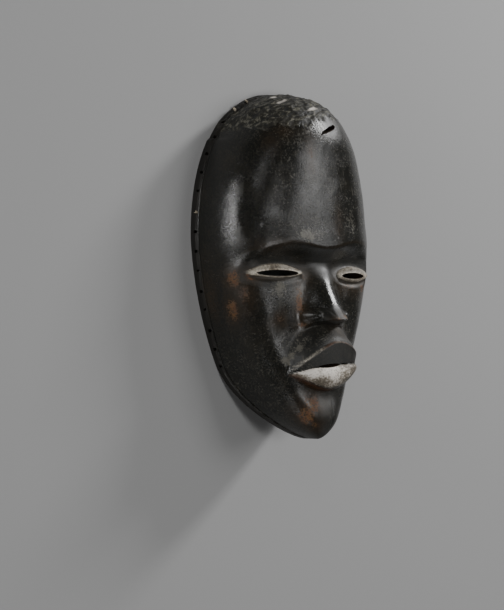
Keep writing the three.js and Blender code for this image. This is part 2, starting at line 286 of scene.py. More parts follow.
def noseHeight(x, y, z):
    # the bridge, and a lobe on each side of it
    side = np.abs(x)
    fromRoot = np.clip((nose["rootY"] - y) / (nose["rootY"] - nose["tipY"]), 0, 1)
    rise = 0.8 * fromRoot**1.15 + 0.2 * fromRoot**4  # nearly straight, then up at the tip
    ridge = lowerFace["depth"] + (nose["tipZ"] - lowerFace["depth"]) * rise
    halfX = nose["rootHalf"] + (nose["tipHalf"] - nose["rootHalf"]) * fromRoot
    across = np.exp(-((side / halfX) ** (2.0 + 1.2 * fromRoot**2)))
    drop = wing["drop"] * np.clip(side / wing["dropX"], 0, 1.2) ** 4
    reach = ease(nose["underY"], nose["tipY"], y + drop) * ease(nose["rootY"] + 3, nose["rootY"] - 20, y)
    above = ridge - z
    raised = (above + np.hypot(above, nose["melt"])) / 2  # melts into the slope under the brow
    bridge = z + raised * reach * across
    away = np.hypot((side - wing["x"]) / wing["halfX"], (y - wing["y"]) / wing["halfY"])
    lobe = np.exp(-(away**2.6))
    wings = z + np.maximum(wing["z"] - z, 0) * lobe * reach
    joined = (bridge + wings + np.hypot(bridge - wings, wing["blend"])) / 2
    return joined - wing["blend"] / 2 * (1 - lobe * reach)


mouth = {
    "halfWidth": 29.5,
    "frontZ": 73.5,
    "cornerZ": 50.5,
    "peakY": -52.6,
    "cornerY": -72.2,
    "lineY": -68.4,
    "bottomY": -86.4,
    "tilt": 0.08,
    "ramp": 9.0,
    "step": 2.0,
    "undercut": 1.2,
    "upperSlope": 1.5,
    "lowerSet": 2.5,
    "lowerFull": 4.0,
    "lowerFall": 6.5,
    "gapX": -7.0,
    "gapHalf": 9.8,
    "gapHeight": 1.3,
    "cutFrom": 10,
    "cutTo": 100,
}


def lipCurves(x):
    # the lips' top edge, the line between them, their bottom edge, and how far forward they stand
    side = np.clip(np.abs(x) / mouth["halfWidth"], 0, 1)
    tilt = mouth["tilt"] * x
    topDrop = 0.75 * side**1.75 + 0.25 * side**12
    bottomRise = side**1.9
    top = mouth["peakY"] + (mouth["cornerY"] - mouth["peakY"]) * topDrop + tilt
    line = mouth["lineY"] + (mouth["cornerY"] - mouth["lineY"]) * side**4 + tilt
    bottom = mouth["bottomY"] + (mouth["cornerY"] - mouth["bottomY"]) * bottomRise + tilt
    front = mouth["cornerZ"] + (mouth["frontZ"] - mouth["cornerZ"]) * np.sqrt(1 - side**3.2)
    return top, line, bottom, front


def lipHeight(x, y, z):
    # both lips and the slope that leads up to them
    top, line, bottom, front = lipCurves(x)
    share = np.abs(x) / mouth["halfWidth"]
    ramp = swell(np.maximum(y - top, 0), mouth["ramp"]) * ease(bottom, top, y) * ease(1.15, 0.8, share)
    z = z + np.maximum(front - mouth["step"] - z, 0) * ramp
    z = z - mouth["undercut"] * swell(y - bottom + 5, 6) * ease(1, 0.5, share)
    inside = share < 1
    downUpper = (top - y) / np.maximum(top - line, 0.01)
    downLower = (line - y) / np.maximum(line - bottom, 0.01)
    upper = front - mouth["upperSlope"] * downUpper
    full = np.sqrt(np.sin(np.pi * np.clip(downLower, 0, 1)))
    lower = front - mouth["lowerSet"] + mouth["lowerFull"] * full - mouth["lowerFall"] * downLower**2
    onUpper = inside * ease(top + 0.5, top - 0.2, y) * ease(line - 0.3, line + 0.3, y)
    onLower = inside * ease(line + 0.3, line - 0.3, y) * ease(bottom - 0.5, bottom + 0.5, y)
    z = z + np.maximum(upper - z, 0) * onUpper
    return z + np.maximum(lower - z, 0) * onLower


def socketDepth(x, y):
    side = np.abs(x)
    left = ease(brow["leftEndX"], brow["archX"], side) * (x > 0)
    right = ease(brow["rightEndX"], brow["rightFullX"], side) * (x <= 0)
    middleY = brow["socketY"] - brow["socketRise"] * ease(brow["riseFromX"], brow["riseToX"], side)
    depth = brow["socket"] * swell(browLine(x) - y - middleY, brow["socketHalf"]) * (left + right)
    return depth * (0.3 + 0.7 * ease(4, 24, side))  # shallower over the nose


def rimShift(x, y, fromRim):
    # how far the rim's band stands out, less what is cut back on the right
    flare = rim["bandFlare"] * ease(rim["bandHeight"] + 1.0, rim["bandHeight"] - 0.2, fromRim)
    worn = rim["wornDepth"] * ease(rim["wornFrom"] - 0.8, rim["wornFrom"] + 0.8, y) * (x < 0)
    worn = worn * ease(24, 8, fromRim) * (1 + rim["crownWear"] * ease(100, rim["wornTo"], y))
    return flare - worn


# broad swellings of the face: middle, half sizes, and how far each stands out
eyeCorner = {"x": 53.0, "y": -5.2, "halfX": 6.0, "halfY": 10.0, "height": 1.6}
cheekHollow = {"x": 31.0, "y": -50.0, "halfX": 12.0, "halfY": 20.0, "height": -2.5}
cheek = {"x": 38.0, "y": -19.0, "halfX": 16.0, "halfY": 13.0, "height": 1.1}
muzzle = {"x": 0.0, "y": -66.0, "halfX": 28.4, "halfY": 22.8, "height": 4.0}
chin = {"x": 0.0, "y": -103.2, "halfX": 18.0, "halfY": 13.0, "height": 3.0}


def mound(form, side, y):
    return form["height"] * swell(side - form["x"], form["halfX"]) * swell(y - form["y"], form["halfY"])


def carvedPoint(y, angle):
    # the finished outside without the marks of the tool
    x, z = headPoint(y, angle, 0, 0)
    side = np.abs(x)
    front = ease(6, 24, z)
    z = z - socketDepth(x, y) * front
    for form in (eyeCorner, cheekHollow, cheek):
        z = z + mound(form, side, y) * front
    for form in (muzzle, chin):
        z = z + mound(form, side, y)
    z = z + eyeRelief(x, y)
    z = noseHeight(x, y, z)
    z = lipHeight(x, y, z)
    outward = rimShift(x, y, z - rimHeight(y))
    return x + np.sign(x) * outward * ease(0, 14, side), y, z


# the carver's marks in millimetres: waves all over, scooped cuts on the crown, lines and small damage
carving = {
    "wave": 0.16,
    "waveSize": 24.0,
    "ripple": 0.07,
    "rippleSize": 8.0,
    "scoop": 1.55,
    "scoopLength": 9.0,
    "scoopWidth": 3.4,
    "scoopSlant": 28.0,
    "crownFromY": 96.5,
    "crownStep": 6.0,
    "crownDip": 3.0,
    "crownRough": 0.35,
    "crease": 0.4,
    "chatter": 0.22,
    "chatterPitch": 1.7,
    "browGroove": 0.12,
    "wingGroove": 0.5,
    "fold": 0.7,
    "foldRidge": 0.3,
    "chinCrack": 0.35,
    "nick": 0.7,
    "hollowScoop": 0.7,
    "hollowScoopSize": 9.0,
}
# short cuts across the crown, painted white, partly as bare wood and partly as painted glints: x, y, z
# and half length
chips = [
    (-9.9, 118.4, 22.7, 6.0),
    (-17.3, 113.9, 34.8, 6.0),
    (1.5, 109.3, 47.7, 8.25),
    (-42.0, 104.0, 22.0, 3.0),
]
chipCut = {"depth": 0.9, "width": 0.95, "across": 0.95, "up": 0.3}


def noiseField(points, size, offset=0.0):
    # smooth noise of about -0.5 to 0.5 at each point
    scaled = points.reshape(-1, 3) / size + offset
    return np.array([noise.noise(p) for p in scaled.tolist()]).reshape(points.shape[:-1])


def scoops(points, lengths, slant):
    # round-bottomed cells, as a small adze leaves them: 0 in the middle, 1 at the ridges
    turn = math.radians(slant)
    x, y, z = points[..., 0], points[..., 1], points[..., 2]
    along = (x * math.cos(turn) + y * math.sin(turn)) / lengths[0]
    over = (y * math.cos(turn) - x * math.sin(turn)) / lengths[1]
    cells = np.stack([along, over, z / lengths[2]], axis=-1).reshape(-1, 3)
    nearest = np.array([noise.voronoi(p)[0][0] for p in cells.tolist()]).reshape(points.shape[:-1])
    return np.clip(nearest, 0, 1) ** 2


def crownShare(x, y):
    # where the crown is left rough from the tool, with an uneven lower edge
    line = carving["crownFromY"] + carving["crownStep"] * ease(-12, 4, x)
    line = line - carving["crownDip"] * ease(-30, -48, x)
    return ease(line - 1.2, line + 1.2, y + 1.6 * np.sin(0.45 * x) + 0.9 * np.sin(1.3 * x + 1))


def featureShare(x, y):
    # eyes, nose and mouth, which were finished finer than the rest
    onEyes = ease(1.3, 0.9, np.hypot((np.abs(x) - eye["x"]) / 25, (y - eye["y"]) / 10))
    onMouth = ease(1.3, 0.9, np.hypot(x / 32, (y + 70) / 21))
    onNose = ease(1.3, 0.9, np.hypot(x / 18, (y + 26) / 24))
    return np.clip(onEyes + onMouth + onNose, 0, 1)


def chipDepth(points):
    depth = np.zeros(points.shape[:-1])
    for x, y, z, half in chips:
        away = points - np.array([x, y, z])
        along = away[..., 0] * chipCut["across"] + away[..., 1] * chipCut["up"]
        over = away[..., 1] * chipCut["across"] - away[..., 0] * chipCut["up"]
        fromLine = np.hypot(over, 0.5 * away[..., 2])
        depth += chipCut["depth"] * swell(along, half) * swell(fromLine, chipCut["width"])
    return depth


def featureLines(x, y):
    # soft groove over the brow, groove round the wings, fold from the nose to the mouth corner
    side = np.abs(x)
    height = -carving["browGroove"] * swell(y - browLine(x) - 0.6, 0.9) * ease(65, 58, side)
    fromWing = np.hypot(side - wing["x"], (y - wing["y"]) / 0.85)
    height -= carving["wingGroove"] * swell(fromWing - 7.4, 1.0) * ease(-36, -33, y) * ease(19, 15, side)
    across, along = (side - 25) * 0.83 + (y + 51) * 0.55, (y + 51) * 0.83 - (side - 25) * 0.55
    height -= carving["fold"] * swell(across, 3.4) * ease(13, 5, np.abs(along))
    height += carving["foldRidge"] * swell(across + 6.0, 3.0) * ease(15, 8, np.abs(along + 3))
    return height


def damage(points):
    # fine crack in the chin, nick on the forehead, chips on the crown
    x, y = points[..., 0], points[..., 1]
    crack = carving["chinCrack"] * swell(x - 4.5, 0.8) * ease(-113, -108, y) * ease(-92, -97, y)
    nick = carving["nick"] * swell(np.hypot(x + 49.8, (y - 25.6) / 2.2), 1.1)
    return crack + nick + chipDepth(points)


def handRelief(points):
    # how far the hand's marks raise each point of the outside
    x, y, z = points[..., 0], points[..., 1], points[..., 2]
    crown = crownShare(x, y)
    plain = 1 - 0.8 * featureShare(x, y)
    height = carving["wave"] * 2 * noiseField(points, carving["waveSize"]) * plain
    height += carving["ripple"] * 2 * noiseField(points, carving["rippleSize"], 7.0) * plain
    lengths = (carving["scoopLength"], carving["scoopWidth"], 7.0)
    warped = points + 2.5 * noiseField(points, 9.0, 3.0)[..., None]
    height += carving["scoop"] * (scoops(warped, lengths, carving["scoopSlant"]) - 0.45) * crown
    height += carving["crownRough"] * noiseField(points, 2.6, 5.0) * crown
    fromRim = z - rimHeight(y)
    height -= carving["crease"] * swell(fromRim - rim["bandHeight"] - 1.3, 1.0)
    onJaw = swell(y + 36, 12) * (x < -40) * ease(8, 14, fromRim) * ease(34, 24, fromRim)
    height += carving["chatter"] * np.sin(y * carving["chatterPitch"] + 1.2 * np.sin(0.3 * z)) * onJaw
    height += featureLines(x, y) - damage(points)
    return height * ease(0.2, 2.5, fromRim) * ease(0, 5, outlineHalf(y, 0))


def pushedOut(grid, height):
    # moves a grid's points along its normals
    downRow, downColumn = np.gradient(grid, axis=0), np.gradient(grid, axis=1)
    normal = np.cross(downColumn, downRow)
    length = np.linalg.norm(normal, axis=-1, keepdims=True)
    normal = normal / np.maximum(length, 1e-9)
    middle = grid.shape[0] // 2, grid.shape[1] // 2
    return grid + normal * np.sign(normal[middle][2]) * height[..., None]


# how finely the form is laid out: rows from crown to chin, columns from the middle to the rim
fineness = {
    "rowsCrown": 112,
    "crownToY": 42,
    "rowsForehead": 16,
    "foreheadToY": 25,
    "rowsFace": 108,
    "noseToY": -42,
    "rowsMouth": 84,
    "mouthToY": -92,
    "rowsChin": 44,
    "columnsFront": 72,
    "frontShare": 0.34,
    "columnsSide": 24,
    "sideShare": 0.46,
    "columnsRim": 12,
    "hollowRowsUp": 90,
    "hollowRowsDown": 100,
    "hollowColumns": 110,
}


def turnedRows(start, end, count):
    # rows that crowd together towards the end, where the outline turns in
    return start + (end - start) * np.sin(np.linspace(0, math.pi / 2, count))


def outerGrid():
    crownTo, foreheadTo = fineness["crownToY"], fineness["foreheadToY"]
    noseTo, mouthTo = fineness["noseToY"], fineness["mouthToY"]
    rows = np.concatenate([
        turnedRows(crownTo, crownY, fineness["rowsCrown"])[::-1],
        np.linspace(crownTo, foreheadTo, fineness["rowsForehead"])[1:],
        np.linspace(foreheadTo, noseTo, fineness["rowsFace"])[1:],
        np.linspace(noseTo, mouthTo, fineness["rowsMouth"])[1:],
        turnedRows(mouthTo, chinY, fineness["rowsChin"])[1:],
    ])
    front, side = fineness["frontShare"] * math.pi, fineness["sideShare"] * math.pi
    half = np.concatenate([
        np.linspace(0, front, fineness["columnsFront"]),
        np.linspace(front, side, fineness["columnsSide"])[1:],
        np.linspace(side, math.pi / 2, fineness["columnsRim"])[1:],
    ])
    columns = np.concatenate([-half[:0:-1], half])
    y, angle = np.meshgrid(rows, columns, indexing="ij")
    grid = np.stack(carvedPoint(y, angle), axis=-1)
    return pushedOut(grid, handRelief(grid))


def hollowGrid():
    upTurn = np.linspace(math.pi / 2, 0, fineness["hollowRowsUp"])
    downTurn = np.linspace(0, -math.pi / 2, fineness["hollowRowsDown"])[1:]
    crownReach = crownY - mask["rimWall"] - widestY
    chinReach = widestY - chinY - mask["rimWall"]
    rows = widestY + np.concatenate([crownReach * np.sin(upTurn), chinReach * np.sin(downTurn)])
    columns = np.linspace(-math.pi / 2, math.pi / 2, fineness["hollowColumns"])
    y, angle = np.meshgrid(rows, columns, indexing="ij")
    x, z = headPoint(y, angle, mask["rimWall"], mask["frontWall"])
    grid = np.stack([x, y, z], axis=-1)
    size = carving["hollowScoopSize"]
    marks = scoops(grid, (2.2 * size, size, size), 90) * carving["hollowScoop"]
    marks *= ease(0, 6, z - rimHeight(y)) * ease(0, 5, outlineHalf(y, mask["rimWall"]))
    grid = pushedOut(grid, -marks)
    feet = grid[:, [0, -1]].copy()
    feet[..., 2] = mask["cutBelow"]
    return np.concatenate([feet[:, :1], grid, feet[:, 1:]], axis=1)


def newPiece(name, points, faces, material):
    mesh = bpy.data.meshes.new(name)
    mesh.from_pydata((np.asarray(points) * mm).tolist(), [], faces)
    mesh.materials.append(material)
    piece = bpy.data.objects.new(name, mesh)
    bpy.context.scene.collection.objects.link(piece)
    return piece


def closedMesh(name, grid, material):
    # a strip from each row's last point back to its first closes the grid
    rows, columns = grid.shape[:2]
    index = np.arange(rows * columns).reshape(rows, columns)
    following = np.roll(index, -1, axis=1)
    quads = np.stack([index[:-1], index[1:], following[1:], following[:-1]], axis=-1).reshape(-1, 4)
    piece = newPiece(name, grid.reshape(-1, 3), quads.tolist(), material)
    weld(piece, 1e-6)
    return piece


def weld(piece, distance):
    shape = bmesh.new()
    shape.from_mesh(piece.data)
    bmesh.ops.remove_doubles(shape, verts=shape.verts, dist=distance)
    bmesh.ops.dissolve_degenerate(shape, edges=shape.edges, dist=distance)
    bmesh.ops.recalc_face_normals(shape, faces=shape.faces)
    shape.to_mesh(piece.data)
    shape.free()


def plainMesh(piece):
    # the piece's mesh with its modifiers applied
    depsgraph = bpy.context.evaluated_depsgraph_get()
    return bpy.data.meshes.new_from_object(piece.evaluated_get(depsgraph))


def cut(piece, cutter):
    modifier = piece.modifiers.new("cut", "BOOLEAN")
    modifier.operation = "DIFFERENCE"
    modifier.object = cutter
    modifier.solver = "MANIFOLD"
    modifier.material_mode = "TRANSFER"
    result = plainMesh(piece)
    piece.modifiers.clear()
    piece.data = result
    bpy.data.objects.remove(cutter, do_unlink=True)


def prism(name, outline, sizes, material):
    # an outline in x and y run straight up, to cut with
    low, high = sizes["cutFrom"], sizes["cutTo"]
    count = len(outline)
    points = [(x, y, low) for x, y in outline] + [(x, y, high) for x, y in outline]
    sides = [(i, (i + 1) % count, count + (i + 1) % count, count + i) for i in range(count)]
    ends = [tuple(range(count))[::-1], tuple(range(count, 2 * count))]
    piece = newPiece(name, points, ends + sides, material)
    weld(piece, 1e-7)
    return piece


def lensOutline(x, y, halfLength, halfHeight, tilt=0.0, steps=28):
    turns = np.linspace(0, 2 * math.pi, steps, endpoint=False)
    across = halfLength * np.cos(turns)
    up = halfHeight * np.sign(np.sin(turns)) * np.abs(np.sin(turns)) ** 1.2
    return [(x + a, y + u + tilt * a) for a, u in zip(across, up)]


# the slanted slot in the forehead; its corners are shares of its half length and half width
slot = {
    "x": 6.5,
    "y": 94.1,
    "length": 19.0,
    "width": 3.4,
    "slant": 18.5,
    "cutFrom": 30,
    "cutTo": 100,
    "corners": [(-1, -0.5), (-0.5, -0.9), (0.7, -1), (1, -0.3), (0.85, 0.9), (0.2, 1), (-0.7, 0.5)],
}


def slotOutline():
    turn = math.radians(slot["slant"])
    outline = []
    for share, side in slot["corners"]:
        a, u = share * slot["length"] / 2, side * slot["width"] / 2
        x = slot["x"] + a * math.cos(turn) - u * math.sin(turn)
        y = slot["y"] + a * math.sin(turn) + u * math.cos(turn)
        outline.append((x, y))
    return outline


# small holes along the rim, drilled square to it
holes = {
    "count": 17,
    "firstShare": 0.6,
    "lastTurn": -0.75,
    "diameter": 2.5,
    "smallest": 0.85,
    "largest": 1.15,
    "length": 28.0,
    "height": 4.2,
    "jitter": 1.1,
    "seed": 5,
}


def rimPath(side):
    # the rim's outline from the first hole to the last, on one side
    turns = np.linspace(math.pi / 2, holes["lastTurn"], 400)
    reach = np.where(turns > 0, crownY - widestY, widestY - chinY)
    y = widestY + reach * np.sin(turns)
    x = outlineHalf(y, 0)
    travelled = np.concatenate([[0], np.cumsum(np.hypot(np.diff(x), np.diff(y)))])
    first = holes["firstShare"] / holes["count"]
    last = (holes["count"] - 1 + holes["firstShare"]) / holes["count"]
    places = np.linspace(first, last, 120) * travelled[-1]
    x, y = np.interp(places, travelled, x), np.interp(places, travelled, y)
    return np.stack([side * x, y, rimHeight(y) + holes["height"]], axis=-1)


def pathCurve(name, paths):
    curve = bpy.data.curves.new(name, "CURVE")
    curve.dimensions = "3D"
    for path in paths:
        spline = curve.splines.new("POLY")
        spline.points.add(len(path) - 1)
        for point, place in zip(spline.points, path):
            point.co = (*(place * mm), 1)
    piece = bpy.data.objects.new(name, curve)
    bpy.context.scene.collection.objects.link(piece)
    return piece


def treeInput(tree, name, kind):
    return tree.interface.new_socket(name, in_out="INPUT", socket_type=kind).identifier


def addNode(tree, kind, inputs=None, **settings):
    made = tree.nodes.new(kind)
    for name, value in settings.items():
        setattr(made, name, value)
    for name, value in (inputs or {}).items():
        if isinstance(value, bpy.types.NodeSocket):
            tree.links.new(value, made.inputs[name])
        else:
            made.inputs[name].default_value = value
    return made


def rimHolesTree(material):
    tree = bpy.data.node_groups.new("rim holes", "GeometryNodeTree")
    tree.interface.new_socket("Geometry", in_out="INPUT", socket_type="NodeSocketGeometry")
    tree.interface.new_socket("Geometry", in_out="OUTPUT", socket_type="NodeSocketGeometry")
    sockets = {
        "count": treeInput(tree, "Count", "NodeSocketInt"),
        "diameter": treeInput(tree, "Diameter", "NodeSocketFloat"),
        "length": treeInput(tree, "Length", "NodeSocketFloat"),
        "jitter": treeInput(tree, "Jitter", "NodeSocketFloat"),
        "seed": treeInput(tree, "Seed", "NodeSocketInt"),
    }
    given = tree.nodes.new("NodeGroupInput").outputs
    along = {"Curve": given["Geometry"], "Count": given["Count"]}
    places = addNode(tree, "GeometryNodeCurveToPoints", along, mode="COUNT")
    negative = addNode(tree, "ShaderNodeMath", {0: given["Jitter"], 1: -1.0}, operation="MULTIPLY")
    slide = addNode(tree, "FunctionNodeRandomValue", data_type="FLOAT")
    tree.links.new(negative.outputs[0], slide.inputs[2])
    tree.links.new(given["Jitter"], slide.inputs[3])
    tree.links.new(given["Seed"], slide.inputs["Seed"])
    tangent = places.outputs["Tangent"]
    step = addNode(tree, "ShaderNodeVectorMath", {0: tangent}, operation="SCALE")
    tree.links.new(slide.outputs[1], step.inputs["Scale"])
    moved = addNode(tree, "GeometryNodeSetPosition", {
        "Geometry": places.outputs["Points"],
        "Offset": step.outputs[0],
    })
    upright = (0.0, 0.0, 1.0)
    outward = addNode(tree, "ShaderNodeVectorMath", {0: tangent, 1: upright}, operation="CROSS_PRODUCT")
    turned = addNode(tree, "FunctionNodeAlignRotationToVector", {"Vector": outward.outputs[0]}, axis="Z")
    radius = addNode(tree, "ShaderNodeMath", {0: given["Diameter"], 1: 0.5}, operation="MULTIPLY")
    drill = addNode(tree, "GeometryNodeMeshCylinder", {
        "Vertices": 12,
        "Radius": radius.outputs[0],
        "Depth": given["Length"],
    })
    spread = addNode(tree, "FunctionNodeRandomValue", data_type="FLOAT")
    spread.inputs[2].default_value = holes["smallest"]
    spread.inputs[3].default_value = holes["largest"]
    tree.links.new(given["Seed"], spread.inputs["Seed"])
    drills = addNode(tree, "GeometryNodeInstanceOnPoints", {
        "Points": moved.outputs["Geometry"],
        "Instance": drill.outputs["Mesh"],
        "Rotation": turned.outputs["Rotation"],
    })
    tree.links.new(spread.outputs[1], drills.inputs["Scale"])
    real = addNode(tree, "GeometryNodeRealizeInstances", {"Geometry": drills.outputs["Instances"]})
    coloured = addNode(tree, "GeometryNodeSetMaterial", {
        "Geometry": real.outputs["Geometry"],
        "Material": material,
    })
    tree.links.new(coloured.outputs["Geometry"], tree.nodes.new("NodeGroupOutput").inputs[0])
    return tree, sockets


def drilledHoles(material):
    # one cutter for all the holes, and the middle of each
    path = pathCurve("rim path", [rimPath(-1), rimPath(1)])
    tree, sockets = rimHolesTree(material)
    modifier = path.modifiers.new("rim holes", "NODES")
    modifier.node_group = tree
    modifier[sockets["count"]] = holes["count"]
    modifier[sockets["diameter"]] = holes["diameter"] * mm
    modifier[sockets["length"]] = holes["length"] * mm
    modifier[sockets["jitter"]] = holes["jitter"] * mm
    modifier[sockets["seed"]] = holes["seed"]
    drills = bpy.data.objects.new("rim holes", plainMesh(path))
    bpy.context.scene.collection.objects.link(drills)
    bpy.data.objects.remove(path, do_unlink=True)
    corners = np.array([tuple(v.co) for v in drills.data.vertices]) / mm
    centres = corners.reshape(holes["count"] * 2, -1, 3).mean(axis=1)
    return drills, centres


# dry ends of the fibre that once hung from the rim: side, height up the mask, how far they stick out
fibres = {
    "places": [
        (-1, 116, 0.3),
        (-1, 111, 0.3),
        (-1, 105, 0.3),
        (-1, 32.4, 3.0),
        (1, 90, 0.4),
        (1, 8, 1.2),
    ],
    "strands": 3,
    "radius": 0.5,
    "tip": 0.35,
    "inside": 5.0,
    "spread": 0.35,
    "curl": 0.09,
    "seed": 11,
}


def fibreStubs(centres, material):
    chance = random.Random(fibres["seed"])
    strands = []
    for side, height, length in fibres["places"]:
        oneSide = centres[np.sign(centres[:, 0]) == side]
        hole = oneSide[np.argmin(np.abs(oneSide[:, 1] - height))]
        outward = np.array([side, max(hole[1] - widestY, 0) / crownY, 0.0])
        outward /= np.linalg.norm(outward)
        for _ in range(fibres["strands"]):
            drift = np.array([chance.uniform(-1, 1) for _ in range(3)])
            steps = np.linspace(-fibres["inside"], length * chance.uniform(0.6, 1.0), 7)
            start = hole + drift * fibres["spread"]
            path = [start + outward * t + drift * fibres["curl"] * max(t, 0) ** 2 for t in steps]
            strands.append(np.array(path))
    curve = pathCurve("fibre strands", strands)
    curve.data.bevel_depth = fibres["radius"] * mm
    curve.data.bevel_resolution = 2
    curve.data.use_fill_caps = True
    for spline in curve.data.splines:
        spline.points[-1].radius = fibres["tip"]
    stubs = bpy.data.objects.new("fibre_stubs", plainMesh(curve))
    bpy.context.scene.collection.objects.link(stubs)
    bpy.data.objects.remove(curve, do_unlink=True)
    stubs.data.materials.clear()
    stubs.data.materials.append(material)
    return stubs


# colours of the old wood and its wear, its gloss, and the sizes of its patterns in metres
wood = {
    "patina": (0.0100, 0.0104, 0.0092, 1),
    "patinaBrown": (0.0205, 0.0182, 0.0135, 1),
    # dust, also the colour of the painted sheen on the cheek and the forehead
    "dust": (0.125, 0.117, 0.095, 1),
    "tint": (0.044, 0.028, 0.015, 1),
    "worn": (0.165, 0.080, 0.026, 1),
    "wornRed": (0.125, 0.050, 0.020, 1),
    "pale": (0.62, 0.56, 0.45, 1),
    "crown": (0.022, 0.020, 0.014, 1),
    "crownPale": (0.142, 0.135, 0.105, 1),
    "rim": (0.006, 0.005, 0.0035, 1),
    # dark brown of the painted shade in the grooves round the eyes and along the brow
    "groove": (0.022, 0.015, 0.008, 1),
    "lid": (0.60, 0.55, 0.46, 1),
    "lidShade": (0.24, 0.195, 0.14, 1),
    "lip": (0.86, 0.80, 0.72, 1),
    "lipShade": (0.22, 0.185, 0.14, 1),
    "hollow": (0.052, 0.030, 0.017, 1),
    "hollowPale": (0.120, 0.072, 0.040, 1),
    "fibre": (0.24, 0.18, 0.11, 1),
    "shine": 0.42,
    "gloss": 0.16,
    "dullness": 0.32,
    "grainSize": 0.0016,
    "grainLength": 0.008,
    "cloudSize": 0.028,
    "patchSize": 0.0085,
    "speckleSize": 0.0014,
    "poreSize": 0.0006,
    "strokeSize": 0.0022,
    "strokeTurn": -0.45,
}


def woodMaterial(name):
    material = bpy.data.materials.new(name)
    material.use_nodes = True
    tree = material.node_tree
    return material, tree, tree.nodes["Principled BSDF"]


def noiseAt(tree, vector, size, detail=3.0, roughness=0.55, distortion=0.0):
    made = addNode(tree, "ShaderNodeTexNoise", {
        "Vector": vector,
        "Scale": 1 / size,
        "Detail": detail,
        "Roughness": roughness,
        "Distortion": distortion,
    })
    return made.outputs["Fac"]


def stretched(tree, vector, scale, turn=(0.0, 0.0, 0.0)):
    given = {"Vector": vector, "Scale": scale, "Rotation": turn}
    return addNode(tree, "ShaderNodeMapping", given).outputs[0]


def between(tree, value, low, high, outLow=0.0, outHigh=1.0):
    # smooth step of a value from one range to another
    made = addNode(tree, "ShaderNodeMapRange", {0: value, 1: low, 2: high, 3: outLow, 4: outHigh})
    made.interpolation_type = "SMOOTHSTEP"
    return made.outputs[0]


def combined(tree, operation, first, second):
    return addNode(tree, "ShaderNodeMath", {0: first, 1: second}, operation=operation).outputs[0]


def plus(tree, first, second):
    return combined(tree, "ADD", first, second)


def minus(tree, first, second):
    return combined(tree, "SUBTRACT", first, second)


def times(tree, first, second):
    return combined(tree, "MULTIPLY", first, second)


def larger(tree, first, second):
    return combined(tree, "MAXIMUM", first, second)


def blended(tree, share, first, second):
    made = addNode(tree, "ShaderNodeMix", data_type="RGBA")
    for socket, value in ((0, share), (6, first), (7, second)):  # its factor and its two colours
        if isinstance(value, bpy.types.NodeSocket):
            tree.links.new(value, made.inputs[socket])
        else:
            made.inputs[socket].default_value = value
    return made.outputs[2]


def painted(tree, name):
    return addNode(tree, "ShaderNodeAttribute", attribute_name=name).outputs["Fac"]


def broken(tree, share, pattern, softness=0.12):
    # a painted share eaten into by a pattern, so that its edge is ragged
    edge = minus(tree, 1.0, share)
    return between(tree, minus(tree, pattern, edge), -softness, softness)


def bumps(tree, height, distance, strength, normal=None):
    made = addNode(tree, "ShaderNodeBump", {"Height": height, "Distance": distance, "Strength": strength})
    if normal is not None:
        tree.links.new(normal, made.inputs["Normal"])
    return made.outputs["Normal"]


